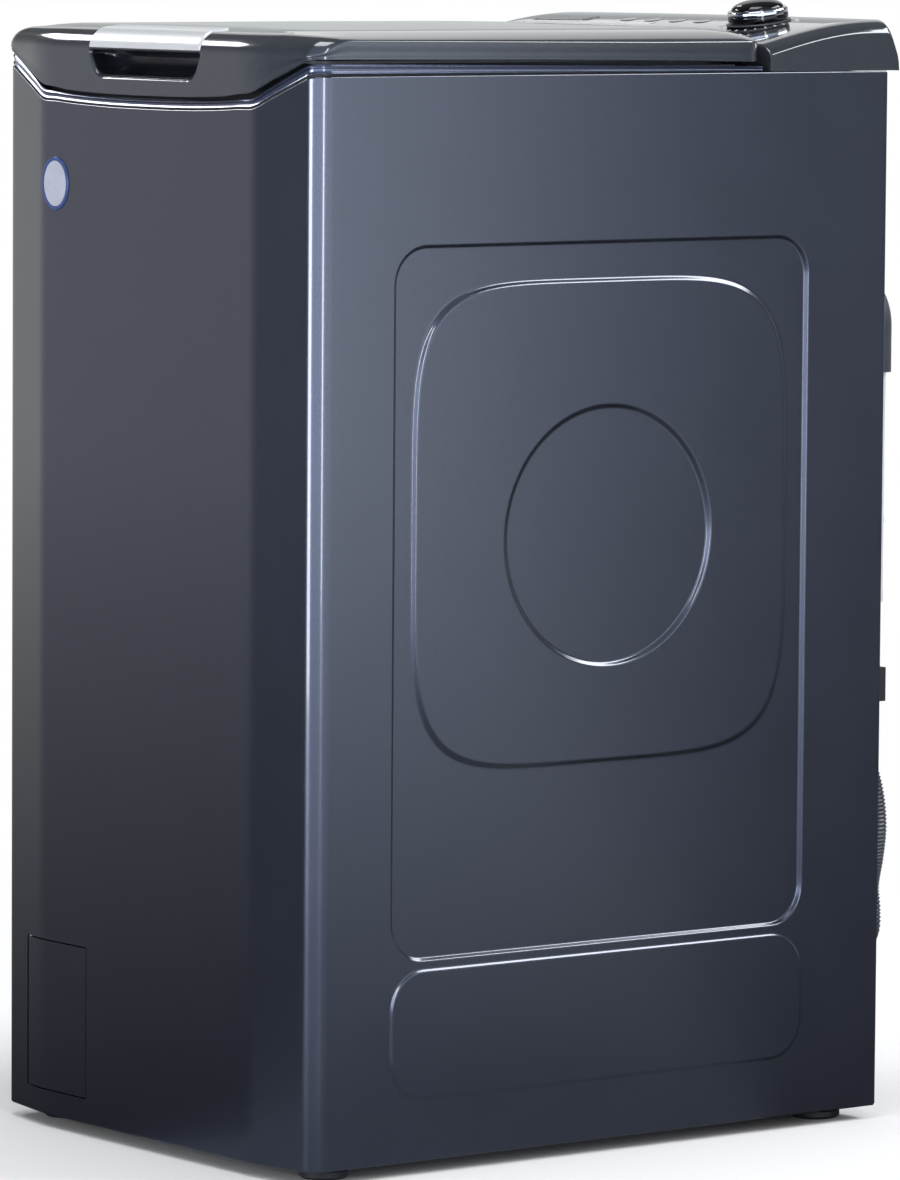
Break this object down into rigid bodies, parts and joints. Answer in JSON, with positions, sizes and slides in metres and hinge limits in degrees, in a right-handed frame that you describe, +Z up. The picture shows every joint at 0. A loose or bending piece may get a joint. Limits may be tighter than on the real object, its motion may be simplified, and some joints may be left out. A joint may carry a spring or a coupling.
{
  "type": "top-loading washing machine",
  "caption": "Narrow top-loading washing machine with a drum between two bearings, hinged lid, rear control strip, soft pressed side panels, filter door and rear drain hose",
  "frame": {"origin": "centre of the bounding box's footprint on the floor", "axes": "+Z up, -Y towards the front face, +X towards the machine's right-hand side seen from its front"},
  "size_m": [0.404, 0.6025, 0.8576],
  "materials": {
    "cabinet_paint": "satin metallic enamel",
    "dark_gloss": "glossy dark plastic",
    "frame_grey": "satin blue-grey plastic",
    "inner_grey": "matt grey plastic",
    "black_plastic": "matt black plastic",
    "knob_gloss": "glossy black plastic",
    "chrome_trim": "bright chrome",
    "silver_trim": "bright satin aluminium",
    "white_plastic": "white plastic",
    "zinc_plate": "zinc-plated steel",
    "stainless": "stainless steel",
    "weight_iron": "raw cast iron",
    "black_rubber": "black rubber",
    "lens_black": "clear glossy lens over black",
    "board_green": "green circuit board"
  },
  "bodies": {
    "cabinet": {"cabinet_shell": "cabinet_paint", "rear_panel": "zinc_plate", "base_frame": "black_plastic", "feet": "black_plastic", "foot_nuts": "zinc_plate", "top_frame": "frame_grey", "control_panel": "dark_gloss", "dial_ring": "inner_grey", "display_lens": "lens_black", "control_board": "board_green", "lid_lock": "black_plastic", "dispenser_tray": "white_plastic", "bellows": "black_rubber", "suspension_springs": "stainless", "damper_cylinders": "black_plastic", "sump_hose": "black_rubber", "drain_pump": "inner_grey", "inlet_valve": "white_plastic", "inlet_hose": "black_rubber", "drain_hose": "black_rubber", "hose_cuff": "inner_grey", "hose_guide": "inner_grey", "hose_clips": "black_plastic", "transport_caps": "black_plastic", "cable_gland": "black_plastic"},
    "tub": {"tub_shell": "inner_grey", "tub_end_left": "inner_grey", "tub_end_right": "inner_grey", "drum_bearings": "stainless", "shaft_seals": "black_rubber", "counterweights": "weight_iron", "motor": "zinc_plate", "heater": "stainless", "damper_rods": "stainless", "drive_belt": "black_rubber"},
    "drum": {"drum_shell": "stainless", "drum_end_left": "stainless", "drum_end_right": "stainless", "drum_lifters": "white_plastic", "drum_shafts": "stainless", "flap_pins": "stainless", "drum_pulley": "inner_grey", "pulley_bolt": "zinc_plate"},
    "front_flap": {"flap_front": "stainless"},
    "rear_flap": {"flap_rear": "stainless"},
    "catch": {"flap_catch": "black_plastic"},
    "rotor": {"motor_pulley": "stainless"},
    "lid": {"lid_outer": "dark_gloss", "lid_inner": "inner_grey", "lid_handle": "silver_trim", "hinge_pins": "stainless", "lid_latch": "black_plastic"},
    "dial": {"knob": "knob_gloss", "knob_ring": "chrome_trim"},
    "power": {"power_button": "inner_grey"},
    "start": {"start_button": "inner_grey"},
    "temp": {"temp_button": "inner_grey"},
    "spin": {"spin_button": "inner_grey"},
    "door": {"filter_door": "cabinet_paint"},
    "cap": {"filter_cap": "white_plastic"}
  },
  "joints": [
    {"name": "tub_float", "type": "slide", "parent": "cabinet", "child": "tub", "axis": [0, 0, 1], "range_m": [-0.008, 0.008], "stiffness_N_per_m": 20000, "springref_m": 0.0157, "deforming": ["suspension_springs", "bellows", "sump_hose"]},
    {"name": "drum_spin", "type": "hinge", "parent": "tub", "child": "drum", "pos_m": [0, -0.01825, 0.463], "axis": [1, 0, 0], "range_deg": [0, 360]},
    {"name": "motor_spin", "type": "hinge", "parent": "tub", "child": "rotor", "pos_m": [0, 0.10975, 0.163], "axis": [1, 0, 0], "range_deg": [0, 5040]},
    {"name": "front_flap_hinge", "type": "hinge", "parent": "drum", "child": "front_flap", "pos_m": [-0.017, -0.12385, 0.66586], "axis": [1, 0, 0], "range_deg": [0, 75]},
    {"name": "rear_flap_hinge", "type": "hinge", "parent": "drum", "child": "rear_flap", "pos_m": [-0.017, 0.08735, 0.66586], "axis": [-1, 0, 0], "range_deg": [0, 75]},
    {"name": "catch_push", "type": "slide", "parent": "rear_flap", "child": "catch", "axis": [0, 0.0454, 0.999], "range_m": [-0.003, 0], "stiffness_N_per_m": 600, "springref_m": 0.001},
    {"name": "lid_hinge", "type": "hinge", "parent": "cabinet", "child": "lid", "pos_m": [0, 0.113, 0.826], "axis": [-1, 0, 0], "range_deg": [0, 90]},
    {"name": "dial_turn", "type": "hinge", "parent": "cabinet", "child": "dial", "pos_m": [0.108, 0.195, 0.83873], "axis": [0, -0.1392, 0.9903], "continuous": true},
    {"name": "power_press", "type": "slide", "parent": "cabinet", "child": "power", "axis": [0, -0.1392, 0.9903], "range_m": [-0.0015, 0], "stiffness_N_per_m": 800, "springref_m": 0.001},
    {"name": "start_press", "type": "slide", "parent": "cabinet", "child": "start", "axis": [0, -0.1392, 0.9903], "range_m": [-0.0015, 0], "stiffness_N_per_m": 800, "springref_m": 0.001},
    {"name": "temp_press", "type": "slide", "parent": "cabinet", "child": "temp", "axis": [0, -0.1392, 0.9903], "range_m": [-0.0015, 0], "stiffness_N_per_m": 800, "springref_m": 0.001},
    {"name": "spin_press", "type": "slide", "parent": "cabinet", "child": "spin", "axis": [0, -0.1392, 0.9903], "range_m": [-0.0015, 0], "stiffness_N_per_m": 800, "springref_m": 0.001},
    {"name": "door_hinge", "type": "hinge", "parent": "cabinet", "child": "door", "pos_m": [-0.1575, -0.29314, 0.086], "axis": [0, 0, -1], "range_deg": [0, 90]},
    {"name": "cap_turn", "type": "hinge", "parent": "cabinet", "child": "cap", "pos_m": [-0.118, -0.27, 0.08625], "axis": [0, 1, 0], "range_deg": [0, 90]}
  ],
  "couplings": [
    {"joint": "motor_spin", "follows": "drum_spin", "ratio": 14}
  ]
}
